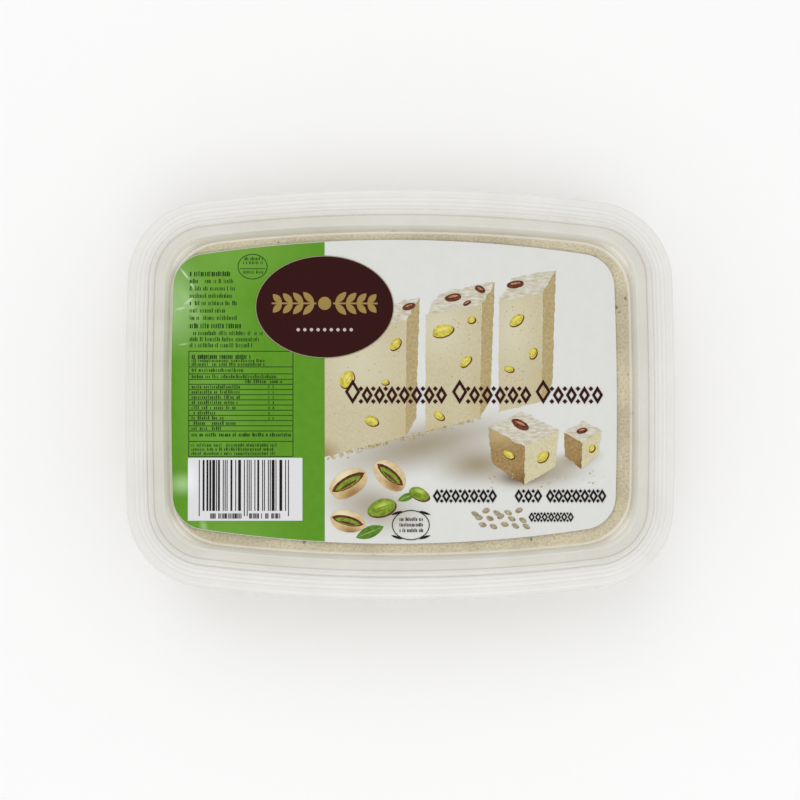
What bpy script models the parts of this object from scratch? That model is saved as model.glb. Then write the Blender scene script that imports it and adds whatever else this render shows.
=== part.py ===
"""A shut rectangular plastic tub of halva: tub with an apron, press-on lid, label and filling.

Metres, +Z up. The origin is the middle of the footprint, at the height of the surface
it stands on. +X is to the right and +Y to the back of the label as it is read.
Every ring of the tub, the lid and the filling is parallel to one outline, the apron's
edge, so a section through them is a path of (inset from that edge, height) points.
"""

import math

import bmesh
import bpy
from mathutils import Matrix, Vector
from mathutils.geometry import intersect_sphere_sphere_2d

MM = 0.001

# Outline of the apron's edge
LENGTH = 158.0 * MM
WIDTH = 118.3 * MM
CORNER_RADIUS = 23.5 * MM
LONG_SIDE_RADIUS = 470.0 * MM
SHORT_SIDE_RADIUS = 1100.0 * MM
SHORT_SIDE_STEPS = 3
CORNER_STEPS = 12
LONG_SIDE_STEPS = 5

# Heights above the surface
HEIGHT = 39.0 * MM
LAND_DROP = 0.8 * MM
PANEL_DROP = 4.0 * MM
FLOOR_TOP = 1.5 * MM
FOOT_RECESS = 0.6 * MM

# Walls, and the gap between neighbours
PLASTIC = 0.9 * MM
LID_SHEET = 0.85 * MM
GAP = 0.3 * MM

# Tub: apron outside the lid, seat under the lid's skirt, rim inside it, then the wall
APRON_FOOT = 29.6 * MM
APRON_DRAFT = 0.1 * MM
APRON_SHOULDER = 34.6 * MM
APRON_SHOULDER_RADIUS = 1.3 * MM
APRON_STEP_COUNT = 3
APRON_STEP_START = 2.6 * MM
APRON_STEP_PITCH = 1.3 * MM
APRON_STEP_RUN = 0.15 * MM
APRON_STEP_RISE = 0.2 * MM
APRON_TREAD_RISE = 0.1 * MM
RIM_OUTER = 7.9 * MM
RIM_INNER = 10.0 * MM
RIM_DRAFT = 0.05 * MM
RIM_ROUND = 0.4 * MM
ROOT_ROUND = 0.5 * MM
WALL_TAPER = math.radians(5.0)
INNER_BASE_ROUND = 4.0 * MM
OUTER_BASE_ROUND = 4.6 * MM
FOOT_WIDTH = 3.0 * MM
FOOT_SLOPE = 0.8 * MM

# Lid: skirt, bead, land, sloping recess wall, flat panel
SKIRT_OUTER = 6.5 * MM
BEAD_WIDTH = 1.4 * MM
BEAD_ROUND = 0.5 * MM
BEAD_FOOT_ROUND = 0.25 * MM
RECESS_TOP = 11.0 * MM
RECESS_BOTTOM = 13.2 * MM
RECESS_ROUND = 0.5 * MM
PANEL_EDGE = 1.0 * MM

# Filling: its upright top edge
HALVA_EDGE = 0.3 * MM

# Label on the panel, set a little to the left
LABEL_LENGTH = 127.1 * MM
LABEL_WIDTH = 86.9 * MM
LABEL_SHIFT = -1.8 * MM
LABEL_LONG_RADIUS = 371.0 * MM
LABEL_SHORT_RADIUS = 900.0 * MM
LABEL_CORNER_RADIUS = 8.5 * MM
LABEL_SHEET = 0.3 * MM

# Colours, roughness and metallic value of each piece
FINISHES = {
    "tub": ((0.80, 0.80, 0.77), 0.30, 0.0),
    "lid": ((0.78, 0.78, 0.74), 0.22, 0.0),
    "label": ((0.70, 0.72, 0.68), 0.35, 0.0),
    "halva": ((0.52, 0.43, 0.27), 0.75, 0.0),
}

# A rounded corner of a section has a step for each stretch of radius, and two at least
RADIUS_PER_STEP = 1.0 * MM
FEWEST_ARC_STEPS = 2


def clear_scene():
    """Empty the open file of objects, so that the model starts from nothing."""
    for thing in list(bpy.data.objects):
        bpy.data.objects.remove(thing, do_unlink=True)


def arc_points(centre, radius, start, end, steps):
    """Points on an arc, both ends included."""
    angles = [start + (end - start) * step / steps for step in range(steps + 1)]
    return [Vector((centre.x + radius * math.cos(a), centre.y + radius * math.sin(a))) for a in angles]


def outline(length, width, long_radius, short_radius, corner_radius):
    """A rectangle with bowed sides and round corners, anticlockwise from its right side's middle."""
    side = Vector((length / 2 - short_radius, 0.0))
    top = Vector((0.0, width / 2 - long_radius))
    meetings = intersect_sphere_sphere_2d(
        side, short_radius - corner_radius, top, long_radius - corner_radius
    )
    corner = max(meetings, key=lambda point: point.x + point.y)
    leaves_side = math.atan2(corner.y - side.y, corner.x - side.x)
    joins_top = math.atan2(corner.y - top.y, corner.x - top.x)
    quarter = arc_points(side, short_radius, 0.0, leaves_side, SHORT_SIDE_STEPS)
    quarter += arc_points(corner, corner_radius, leaves_side, joins_top, CORNER_STEPS)[1:]
    quarter += arc_points(top, long_radius, joins_top, math.pi / 2, LONG_SIDE_STEPS)[1:]
    points = list(quarter)
    points += [Vector((-p.x, p.y)) for p in reversed(quarter[:-1])]
    points += [Vector((-p.x, -p.y)) for p in quarter[1:]]
    points += [Vector((p.x, -p.y)) for p in reversed(quarter[1:-1])]
    return points


def ring(inset):
    """The tub's outline, moved inwards all round."""
    return outline(
        LENGTH - 2 * inset,
        WIDTH - 2 * inset,
        LONG_SIDE_RADIUS - inset,
        SHORT_SIDE_RADIUS - inset,
        CORNER_RADIUS - inset,
    )


def rounded(corners):
    """A section path with its corners rounded. A corner is (inset, height) or (inset, height, radius)."""
    path = [Vector(corners[0][:2])]
    for before, here, after in zip(corners, corners[1:], corners[2:]):
        point = Vector(here[:2])
        radius = here[2] if len(here) > 2 else 0.0
        if not radius:
            path.append(point)
            continue
        back = (Vector(before[:2]) - point).normalized()
        on = (Vector(after[:2]) - point).normalized()
        half = back.angle(on) / 2
        centre = point + (back + on).normalized() * radius / math.sin(half)
        first = point + back * radius / math.tan(half) - centre
        last = point + on * radius / math.tan(half) - centre
        turn = -first.angle_signed(last)
        steps = max(FEWEST_ARC_STEPS, round(radius / RADIUS_PER_STEP))
        for step in range(steps + 1):
            spoke = Matrix.Rotation(turn * step / steps, 2) @ first
            path.append(centre + spoke)
    path.append(Vector(corners[-1][:2]))
    return path


def slab(points, low, high):
    """A flat slab of an outline. Gives the mesh, its lower face and its upper face."""
    mesh = bmesh.new()
    lower = mesh.faces.new([mesh.verts.new((p.x, p.y, low)) for p in points])
    lower.normal_update()
    grown = bmesh.ops.extrude_face_region(mesh, geom=[lower], use_keep_orig=True)
    upper = next(part for part in grown["geom"] if isinstance(part, bmesh.types.BMFace))
    bmesh.ops.translate(mesh, vec=(0, 0, high - low), verts=list(upper.verts))
    bmesh.ops.recalc_face_normals(mesh, faces=mesh.faces[:])
    return mesh, lower, upper


def follow(mesh, face, path):
    """Inset a flat face ring by ring along a section path, so that it takes the path's shape."""
    for here, after in zip(path, path[1:]):
        face.normal_update()
        rise = (after.y - here.y) * (1 if face.normal.z > 0 else -1)
        bmesh.ops.inset_region(
            mesh, faces=[face], thickness=after.x - here.x, depth=rise,
            use_even_offset=True, use_boundary=True,
        )


def finish(name, mesh, collection, sharp_angle=math.radians(35)):
    """Put a mesh in the scene as a named object with its own material."""
    data = bpy.data.meshes.new(name)
    mesh.to_mesh(data)
    mesh.free()
    data.shade_smooth()
    data.set_sharp_from_angle(angle=sharp_angle)
    colour, roughness, metallic = FINISHES[name]
    material = bpy.data.materials.new(name)
    material.use_nodes = True
    shader = material.node_tree.nodes["Principled BSDF"]
    shader.inputs["Base Color"].default_value = (*colour, 1.0)
    shader.inputs["Roughness"].default_value = roughness
    shader.inputs["Metallic"].default_value = metallic
    data.materials.append(material)
    piece = bpy.data.objects.new(name, data)
    collection.objects.link(piece)
    return piece


def apron_steps():
    """The apron's low steps, each a tread and a riser, up to the lid's seat."""
    points = []
    height = APRON_SHOULDER
    for step in range(APRON_STEP_COUNT):
        inset = APRON_STEP_START + step * APRON_STEP_PITCH
        height += APRON_TREAD_RISE
        points.append((inset, height))
        height += APRON_STEP_RISE
        points.append((inset + APRON_STEP_RUN, height))
    return points


def seat_height():
    return apron_steps()[-1][1]


def rim_height():
    return HEIGHT - LAND_DROP - LID_SHEET - GAP


def panel_height():
    return HEIGHT - PANEL_DROP


def wall_inset(height):
    """Inset of the tub's inner face at a height: it leans in towards the floor."""
    return RIM_INNER + (rim_height() - height) * math.tan(WALL_TAPER)


def wall_path(top, gap=0.0):
    """The tub's inner face from a height down to the floor, or a face that stays a gap clear of it."""
    floor = FLOOR_TOP + gap
    corner = wall_inset(floor) + gap
    return [
        (wall_inset(top) + gap, top),
        (corner, floor, INNER_BASE_ROUND - gap),
        (corner + 2 * INNER_BASE_ROUND, floor),
    ]


def make_tub(collection):
    """Injection-moulded tub: down-turned apron, lid seat, rim, tapered wall, floor and foot."""
    mesh, under, over = slab(ring(0.0), APRON_FOOT, APRON_FOOT + APRON_DRAFT)
    rim = rim_height()
    above = [(0.0, APRON_FOOT + APRON_DRAFT)]
    above += [(APRON_DRAFT, APRON_SHOULDER, APRON_SHOULDER_RADIUS)]
    above += apron_steps()
    above += [(RIM_OUTER, seat_height())]
    above += [(RIM_OUTER + RIM_DRAFT, rim, RIM_ROUND), (RIM_INNER, rim, RIM_ROUND)]
    above += wall_path(rim)[1:]
    follow(mesh, over, rounded(above))

    root = seat_height() - PLASTIC
    root_inset = wall_inset(root) - PLASTIC
    foot_outer = wall_inset(0.0) - PLASTIC
    foot_inner = foot_outer + OUTER_BASE_ROUND + FOOT_WIDTH
    below = [(0.0, APRON_FOOT), (PLASTIC, APRON_FOOT)]
    below += [(PLASTIC + APRON_DRAFT, APRON_SHOULDER - PLASTIC, APRON_SHOULDER_RADIUS - PLASTIC / 2)]
    below += [(root_inset, root, ROOT_ROUND)]
    below += [(foot_outer, 0.0, OUTER_BASE_ROUND), (foot_inner, 0.0)]
    below += [(foot_inner + FOOT_SLOPE, FOOT_RECESS)]
    follow(mesh, under, rounded(below))
    return finish("tub", mesh, collection)


def make_lid(collection):
    """Press-on lid: skirt round the tub's rim, bead, flat land, sloping recess wall and panel."""
    skirt_foot = seat_height() + GAP
    land = HEIGHT - LAND_DROP
    mesh, under, over = slab(ring(SKIRT_OUTER), skirt_foot, skirt_foot + APRON_DRAFT)
    above = [(SKIRT_OUTER, skirt_foot + APRON_DRAFT)]
    above += [(SKIRT_OUTER + RIM_DRAFT, HEIGHT, BEAD_ROUND)]
    above += [(SKIRT_OUTER + BEAD_WIDTH, HEIGHT, BEAD_ROUND)]
    above += [(SKIRT_OUTER + BEAD_WIDTH + RIM_DRAFT, land, BEAD_FOOT_ROUND)]
    above += [(RECESS_TOP, land, RECESS_ROUND)]
    above += [(RECESS_BOTTOM, panel_height(), RECESS_ROUND)]
    above += [(RECESS_BOTTOM + PANEL_EDGE, panel_height())]
    follow(mesh, over, rounded(above))

    slope = Vector((RECESS_BOTTOM - RECESS_TOP, panel_height() - land)).normalized()
    back_off = Vector((slope.y, -slope.x)) * LID_SHEET
    wall_at_land = RECESS_TOP + back_off.x + (LID_SHEET + back_off.y) * -slope.x / slope.y
    wall_at_panel = wall_at_land + RECESS_BOTTOM - RECESS_TOP
    below = [(SKIRT_OUTER, skirt_foot), (SKIRT_OUTER + LID_SHEET, skirt_foot)]
    below += [(SKIRT_OUTER + LID_SHEET + RIM_DRAFT, land - LID_SHEET, BEAD_FOOT_ROUND)]
    below += [(wall_at_land, land - LID_SHEET, BEAD_FOOT_ROUND)]
    below += [(wall_at_panel, panel_height() - LID_SHEET, RECESS_ROUND)]
    below += [(RECESS_BOTTOM + PANEL_EDGE, panel_height() - LID_SHEET)]
    follow(mesh, under, rounded(below))
    return finish("lid", mesh, collection)


def make_label(collection):
    """Printed label on the lid's panel, with bowed long sides like the tub's."""
    points = outline(
        LABEL_LENGTH, LABEL_WIDTH, LABEL_LONG_RADIUS, LABEL_SHORT_RADIUS, LABEL_CORNER_RADIUS
    )
    low = panel_height() + GAP
    mesh, _, _ = slab([Vector((p.x + LABEL_SHIFT, p.y)) for p in points], low, low + LABEL_SHEET)
    return finish("label", mesh, collection)


def make_halva(collection):
    """The pressed filling, one block out to the tub's wall and up to just under the lid."""
    top = panel_height() - LID_SHEET - GAP
    sides = rounded(wall_path(top, GAP))
    mesh, under, _ = slab(ring(sides[0].x), top - HALVA_EDGE, top)
    follow(mesh, under, [Vector((sides[0].x, top - HALVA_EDGE))] + sides[1:])
    return finish("halva", mesh, collection)


def main():
    clear_scene()
    collection = bpy.data.collections.new("halva_tub")
    bpy.context.scene.collection.children.link(collection)
    make_tub(collection)
    make_lid(collection)
    make_label(collection)
    make_halva(collection)


main()
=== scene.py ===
"""A shut rectangular tub of halva with a printed label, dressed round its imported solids."""

import math
import random

import bmesh
import bpy
from mathutils import Matrix, Vector
from mathutils.geometry import intersect_line_line_2d, intersect_sphere_sphere_2d


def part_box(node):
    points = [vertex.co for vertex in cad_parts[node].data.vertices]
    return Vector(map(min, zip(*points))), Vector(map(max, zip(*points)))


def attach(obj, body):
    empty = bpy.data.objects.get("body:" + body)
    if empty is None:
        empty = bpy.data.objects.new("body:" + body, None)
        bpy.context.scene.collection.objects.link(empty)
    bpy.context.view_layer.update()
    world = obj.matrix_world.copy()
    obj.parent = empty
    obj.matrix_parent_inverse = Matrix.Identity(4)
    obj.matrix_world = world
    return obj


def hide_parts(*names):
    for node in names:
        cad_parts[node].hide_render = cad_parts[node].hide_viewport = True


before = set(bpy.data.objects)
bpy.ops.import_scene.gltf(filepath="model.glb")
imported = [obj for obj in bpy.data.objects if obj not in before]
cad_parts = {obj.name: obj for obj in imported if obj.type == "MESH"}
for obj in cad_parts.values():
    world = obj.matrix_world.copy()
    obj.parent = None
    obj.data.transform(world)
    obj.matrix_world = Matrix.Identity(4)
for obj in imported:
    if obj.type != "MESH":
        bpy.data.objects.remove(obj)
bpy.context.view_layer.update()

# The tub: one injection moulding in milky clear polypropylene. Round its mouth a
# down-turned apron, a few low steps, the lid's seat and a rim follow one outline, and
# the wall leans in to a flat foot. Its outline's sides are bowed a little.
MM = 0.001
tub_low, tub_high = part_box("tub")
lid_low, lid_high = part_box("lid")
TUB_LENGTH = tub_high.x - tub_low.x
TUB_WIDTH = tub_high.y - tub_low.y
TUB_CORNER = 23.5 * MM
LONG_SIDE_BOW = 470.0 * MM
SHORT_SIDE_BOW = 1100.0 * MM
PLASTIC = 0.9 * MM
APRON_FOOT = 29.6 * MM
APRON_SHOULDER = 34.6 * MM
APRON_SHOULDER_ROUND = 1.3 * MM
APRON_LIP_ROUND = 0.3 * MM
APRON_DRAFT = 0.1 * MM
STEP_COUNT = 3
STEP_START = 2.6 * MM
STEP_PITCH = 1.3 * MM
STEP_RUN = 0.35 * MM
STEP_RISE = 0.25 * MM
STEP_ROUND = 0.2 * MM
TREAD_RISE = 0.05 * MM
RIM_TOP = tub_high.z
RIM_OUTER = 7.9 * MM
RIM_INNER = 10.0 * MM
RIM_DRAFT = 0.05 * MM
RIM_ROUND = 0.4 * MM
ROOT_ROUND = 0.5 * MM
WALL_LEAN = math.radians(5.0)
INNER_BASE_ROUND = 4.0 * MM
OUTER_BASE_ROUND = 4.6 * MM
FOOT_WIDTH = 3.0 * MM
FOOT_SLOPE = 0.8 * MM
FOOT_RECESS = 0.6 * MM
FLOOR_TOP = 1.5 * MM
CREASE_ANGLE = math.radians(40)
# Painted light on walls that are drawn in: how much for each millimetre, and how steeply it rises between
# no share and a full one.
DRAWN_PAINTED_LIGHT, PAINTED_LIGHT_RAMP = 0.5, 8
RIM_HAZE_START = 33.4 * MM
# Edge marks on the tub's section: a painted highlight on each step's upper edge, and painted shade in each
# step's inner corner and in the seat's corner by the lid's skirt.
STEP_PAINTED_HIGHLIGHT, STEP_PAINTED_SHADE, SEAT_PAINTED_SHADE = 0.2, -0.12, -0.35
SKIRT_OUTER = 6.5 * MM
SEAT_PAINTED_SHADE_OUT = 0.15 * MM


def outline(length, width, long_bow, short_bow, corner_radius, reach, turn=math.radians(4)):
    """A rectangle with bowed sides and round corners, anticlockwise, in steps no longer than reach."""
    side = Vector((length / 2 - short_bow, 0.0))
    top = Vector((0.0, width / 2 - long_bow))
    meetings = intersect_sphere_sphere_2d(side, short_bow - corner_radius, top, long_bow - corner_radius)
    corner = max(meetings, key=lambda point: point.x + point.y)
    leaves_side = math.atan2(corner.y - side.y, corner.x - side.x)
    joins_top = math.atan2(corner.y - top.y, corner.x - top.x)
    quarter = [Vector((length / 2, 0.0))]
    for centre, radius, start, end in (
        (side, short_bow, 0.0, leaves_side),
        (corner, corner_radius, leaves_side, joins_top),
        (top, long_bow, joins_top, math.pi / 2),
    ):
        steps = math.ceil(max((end - start) * radius / reach, (end - start) / turn))
        for step in range(1, steps + 1):
            angle = start + (end - start) * step / steps
            quarter.append(centre + radius * Vector((math.cos(angle), math.sin(angle))))
    half = quarter + [Vector((-p.x, p.y)) for p in reversed(quarter[:-1])]
    return half + [Vector((p.x, -p.y)) for p in reversed(half[1:-1])]


def tub_outline(reach):
    return outline(TUB_LENGTH, TUB_WIDTH, LONG_SIDE_BOW, SHORT_SIDE_BOW, TUB_CORNER, reach)


def rounded(corners, chord=0.12 * MM, fewest=4, most=12, hold=0.12 * MM, long=8):
    """A section with its corners rounded. Long straights get a point near each end, to stay flat.
    A corner is inset, height, radius and edge, and its points are inset, height and edge. An
    edge is an amount of painted highlight, or of painted shade where it is below zero."""
    path = [Vector((*corners[0][:2], 0.0))]
    for before, here, after in zip(corners, corners[1:], corners[2:]):
        point = Vector(here[:2])
        radius = here[2] if len(here) > 2 else 0.0
        edge = here[3] if len(here) > 3 else 0.0
        if not radius:
            path.append(Vector((*point, edge)))
            continue
        back = (Vector(before[:2]) - point).normalized()
        on = (Vector(after[:2]) - point).normalized()
        half = back.angle(on) / 2
        centre = point + (back + on).normalized() * radius / math.sin(half)
        first = point + back * radius / math.tan(half) - centre
        last = point + on * radius / math.tan(half) - centre
        turn = -first.angle_signed(last)
        steps = max(fewest, min(most, round(abs(turn) * radius / chord)))
        arc = [centre + Matrix.Rotation(turn * step / steps, 2) @ first for step in range(steps + 1)]
        path += [Vector((*p, edge)) for p in arc]
    path.append(Vector((*corners[-1][:2], 0.0)))
    held = [path[0]]
    for here, after in zip(path, path[1:]):
        step = (after - here).to_2d()
        if step.length > long * hold:
            near = step.normalized() * hold
            held += [Vector((*(here.to_2d() + near), 0.0)), Vector((*(after.to_2d() - near), 0.0))]
        held.append(after)
    return held


def wall_inset(height):
    """How far in the tub's inner face is at a height."""
    return RIM_INNER + (RIM_TOP - height) * math.tan(WALL_LEAN)


def placed(name, data):
    """A new object at the origin, in the scene."""
    thing = bpy.data.objects.new(name, data)
    bpy.context.scene.collection.objects.link(thing)
    return thing


def wire(name, points, closed, **marks):
    """A guide line in the ground plane, for a tree to read, with marks at its points."""
    guide = bpy.data.meshes.new(name)
    links = [(i, i + 1) for i in range(len(points) - 1)]
    if closed:
        links.append((len(points) - 1, 0))
    guide.from_pydata([(p.x, p.y, 0.0) for p in points], links, [])
    for mark, values in marks.items():
        if values:
            is_vector = isinstance(values[0], Vector)
            kind, field = ("FLOAT_VECTOR", "vector") if is_vector else ("FLOAT", "value")
            for point, value in zip(guide.attributes.new(mark, kind, "POINT").data, values):
                setattr(point, field, value)
    return placed(name, guide)


def tree_with(name, sockets):
    """A new tree with named inputs. Gives it, what its inputs hold and their identifiers."""
    tree = bpy.data.node_groups.new(name, "GeometryNodeTree")
    ids = {}
    for label, kind in sockets:
        made = tree.interface.new_socket(label, in_out="INPUT", socket_type="NodeSocket" + kind)
        ids[label] = made.identifier
    tree.interface.new_socket("Geometry", in_out="OUTPUT", socket_type="NodeSocketGeometry")
    return tree, tree.nodes.new("NodeGroupInput").outputs, ids


def fed(tree, kind, inputs=(), output=0, **settings):
    """One output of a new node, whose inputs are set to values or linked to outputs."""
    node = tree.nodes.new(kind)
    for setting, value in settings.items():
        setattr(node, setting, value)
    for key, value in dict(inputs).items():
        if isinstance(value, bpy.types.NodeSocket):
            tree.links.new(value, node.inputs[key])
        else:
            node.inputs[key].default_value = value
    return node.outputs[output]


def maths(tree, operation, *values):
    """A sum on sockets or numbers."""
    return fed(tree, "ShaderNodeMath", enumerate(values), operation=operation)


def end_tree(tree, geometry, material):
    """The end of a tree: its instances are made real and its material is set."""
    whole = fed(tree, "GeometryNodeRealizeInstances", {"Geometry": geometry})
    coat = fed(tree, "GeometryNodeSetMaterial", {"Geometry": whole, "Material": material})
    tree.links.new(coat, tree.nodes.new("NodeGroupOutput").inputs["Geometry"])


# One tree runs a section round an outline, draws it in where both are marked, roughens it
# by a noise and sets its material.
MOULD, given, MOULD_IDS = tree_with("Section run round an outline", (
    ("Outline", "Geometry"), ("Section", "Object"), ("Relief", "Float"),
    ("Grain", "Float"), ("Material", "Material"),
))
path = fed(MOULD, "GeometryNodeMeshToCurve", {"Mesh": given["Outline"]})
section = fed(MOULD, "GeometryNodeObjectInfo", {"Object": given["Section"]}, "Geometry")
profile = fed(MOULD, "GeometryNodeMeshToCurve", {"Mesh": section})
run = fed(MOULD, "GeometryNodeCurveToMesh", {"Curve": path, "Profile Curve": profile})
place = fed(MOULD, "GeometryNodeInputPosition")
crumb = fed(MOULD, "ShaderNodeTexNoise", {"Vector": place, "Scale": given["Grain"]})
rise = maths(MOULD, "MULTIPLY", maths(MOULD, "SUBTRACT", crumb, 0.5), given["Relief"])
normal = fed(MOULD, "GeometryNodeInputNormal")
push = fed(MOULD, "ShaderNodeVectorMath", {0: normal, "Scale": rise}, operation="SCALE")
draw = fed(MOULD, "GeometryNodeInputNamedAttribute", {"Name": "draw"}, data_type="FLOAT_VECTOR")
share = fed(MOULD, "GeometryNodeInputNamedAttribute", {"Name": "share"}, data_type="FLOAT")
shift = fed(MOULD, "ShaderNodeVectorMath", enumerate((draw, share, push)), operation="MULTIPLY_ADD")
moved = fed(MOULD, "GeometryNodeSetPosition", {"Geometry": run, "Offset": shift})
smooth = fed(MOULD, "GeometryNodeSetShadeSmooth", {"Geometry": moved})
end_tree(MOULD, smooth, given["Material"])


def grown(name, carrier, tree, values):
    """The plain mesh that a tree makes on a carrier object, which is then removed."""
    modifier = carrier.modifiers.new("grow", "NODES")
    modifier.node_group = tree
    for identifier, value in values.items():
        modifier[identifier] = value
    bpy.context.view_layer.update()
    reading = bpy.context.evaluated_depsgraph_get()
    mesh = bpy.data.meshes.new_from_object(carrier.evaluated_get(reading))
    mesh.name = name
    carrier.modifiers.remove(modifier)
    bpy.data.objects.remove(carrier)
    return placed(name, mesh)


def moulded(name, ring, section, material, relief=0.0, grain=0.0, draws=(), shares=()):
    """A closed piece: a section of (inset, height, edge) points run round a ring, its two ends
    filled; an edge is painted highlight, or painted shade below zero. Draws are shifts at the
    ring's points, and shares of them go to the section's. A wall between no share and a full
    one gets more painted light, and is less see-through, for each millimetre that it is drawn in."""
    edges = [p.z for p in section]
    guide = wire("section", [Vector((-p.x, -p.y)) for p in section], False, edge=edges, share=shares)
    piece = grown(name, wire("ring", ring, True, draw=draws), MOULD, {
        MOULD_IDS["Section"]: guide, MOULD_IDS["Relief"]: relief,
        MOULD_IDS["Grain"]: grain, MOULD_IDS["Material"]: material,
    })
    bpy.data.objects.remove(guide)
    if draws:
        edge, draw, share = (piece.data.attributes[mark].data for mark in ("edge", "draw", "share"))
        for point, shift, part in zip(edge, draw, share):
            # Painted light, added to the edge mark where a wall is drawn in.
            between = min(1.0, PAINTED_LIGHT_RAMP * part.value * (1 - part.value))
            point.value += DRAWN_PAINTED_LIGHT * between * shift.vector.length / MM
    body = bmesh.new()
    body.from_mesh(piece.data)
    bmesh.ops.holes_fill(body, edges=[edge for edge in body.edges if edge.is_boundary], sides=0)
    bmesh.ops.recalc_face_normals(body, faces=body.faces[:])
    for face in body.faces:
        face.smooth = True
    body.to_mesh(piece.data)
    body.free()
    piece.data.set_sharp_from_angle(angle=CREASE_ANGLE)
    for mark in ("draw", "share"):
        if mark in piece.data.attributes:
            piece.data.attributes.remove(piece.data.attributes[mark])
    return piece


def chart(red, green, blue):
    """A colour in steps of 0 to 255, as a colour chart gives it."""
    steps = (red / 255, green / 255, blue / 255)
    light = [s / 12.92 if s <= 0.04045 else ((s + 0.055) / 1.055) ** 2.4 for s in steps]
    return (*light, 1.0)


def new_finish(name, roughness, **levels):
    """A material with one shader. Gives it, its tree and the shader."""
    material = bpy.data.materials.new(name)
    material.use_nodes = True
    shader = material.node_tree.nodes["Principled BSDF"]
    shader.inputs["Roughness"].default_value = roughness
    for socket, level in levels.items():
        shader.inputs[socket.replace("_", " ")].default_value = level
    return material, material.node_tree, shader


def clouded(tree, scale, detail, stretch=(1, 1, 1)):
    """A noise on the piece's own coordinates, with scale in marks per metre."""
    place = fed(tree, "ShaderNodeTexCoord", output="Object")
    drawn_out = fed(tree, "ShaderNodeMapping", {"Vector": place, "Scale": stretch})
    return fed(tree, "ShaderNodeTexNoise", {"Vector": drawn_out, "Scale": scale, "Detail": detail})


def ramped(tree, source, stops):
    """Colours at places along a source from 0 to 1."""
    shade = fed(tree, "ShaderNodeValToRGB", {"Fac": source})
    line = shade.node.color_ramp.elements
    while len(line) < len(stops):
        line.new(0.5)
    for element, (place, colour) in zip(line, stops):
        element.position = place
        element.color = colour
    return shade


def ranged(tree, source, low, high, start=0.0, end=1.0):
    """A source from start to end, turned into low to high."""
    return fed(tree, "ShaderNodeMapRange", {
        "Value": source, "From Min": start, "From Max": end, "To Min": low, "To Max": high,
    })


def bumped(tree, shader, source, height):
    """Fine relief on a shader, height in metres."""
    normal = fed(tree, "ShaderNodeBump", {"Distance": height, "Height": source})
    tree.links.new(normal, shader.inputs["Normal"])


MIX_AMOUNT, MIX_UNDER, MIX_OVER, MIXED = 0, 6, 7, 2


def mixed(tree, amount, under, over, blend="MIX"):
    """One colour laid over another, each a socket or a plain colour."""
    sides = {MIX_AMOUNT: amount, MIX_UNDER: under, MIX_OVER: over}
    return fed(tree, "ShaderNodeMix", sides, MIXED, data_type="RGBA", blend_type=blend)


# Colours that an edge mark mixes into the plastic: a painted highlight, and the painted shade of a groove.
PAINTED_HIGHLIGHT, PAINTED_GROOVE_SHADE = chart(250, 247, 236), chart(150, 147, 132)


def milky_plastic(name, pale, deep, clear, dense, haze, haze_start, haze_end):
    """Milky polypropylene: see-through face on, whiter along its surface. An edge mark above zero
    is a painted highlight and one below zero is painted shade, both less see-through. Haze
    whitens it from one height to another."""
    material, tree, shader = new_finish(
        name, 0.28, IOR=1.49, Specular_IOR_Level=0.35, Coat_Weight=0.15, Coat_Roughness=0.12
    )
    # The edge mark is painted highlight where it is above zero and painted shade where it is below.
    edge = fed(tree, "ShaderNodeAttribute", output="Fac", attribute_name="edge")
    flow = ramped(tree, clouded(tree, 90.0, 3.0), ((0.3, deep), (0.7, pale)))
    lit = mixed(tree, edge, flow, PAINTED_HIGHLIGHT)
    shaded = mixed(tree, maths(tree, "MULTIPLY", edge, -1.0), lit, PAINTED_GROOVE_SHADE)
    tree.links.new(shaded, shader.inputs["Base Color"])
    facing = fed(tree, "ShaderNodeLayerWeight", {"Blend": 0.5}, "Facing")
    place = fed(tree, "ShaderNodeTexCoord", output="Object")
    height = fed(tree, "ShaderNodeSeparateXYZ", {"Vector": place}, "Z")
    along = ranged(tree, facing, clear, dense)
    milk = ranged(tree, height, 0.0, haze, haze_start, haze_end)
    solid = maths(tree, "MAXIMUM", maths(tree, "ADD", along, milk), maths(tree, "ABSOLUTE", edge))
    tree.links.new(maths(tree, "MINIMUM", solid, 1.0), shader.inputs["Alpha"])
    bumped(tree, shader, clouded(tree, 260.0, 2.0), 0.004 * MM)
    return material


tub_plastic = milky_plastic(
    "tub_plastic", chart(235, 234, 231), chart(230, 229, 225), clear=0.25, dense=0.85,
    haze=0.65, haze_start=RIM_HAZE_START, haze_end=APRON_SHOULDER
)
apron = [(0.0, APRON_FOOT + APRON_LIP_ROUND), (APRON_DRAFT, APRON_SHOULDER, APRON_SHOULDER_ROUND)]
seat = APRON_SHOULDER
# Each step gets painted shade in its inner corner and a painted highlight on its upper edge.
for step in range(STEP_COUNT):
    inset = STEP_START + step * STEP_PITCH
    seat += TREAD_RISE
    apron.append((inset, seat, STEP_ROUND, STEP_PAINTED_SHADE))
    seat += STEP_RISE
    apron.append((inset + STEP_RUN, seat, STEP_ROUND, STEP_PAINTED_HIGHLIGHT))
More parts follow.
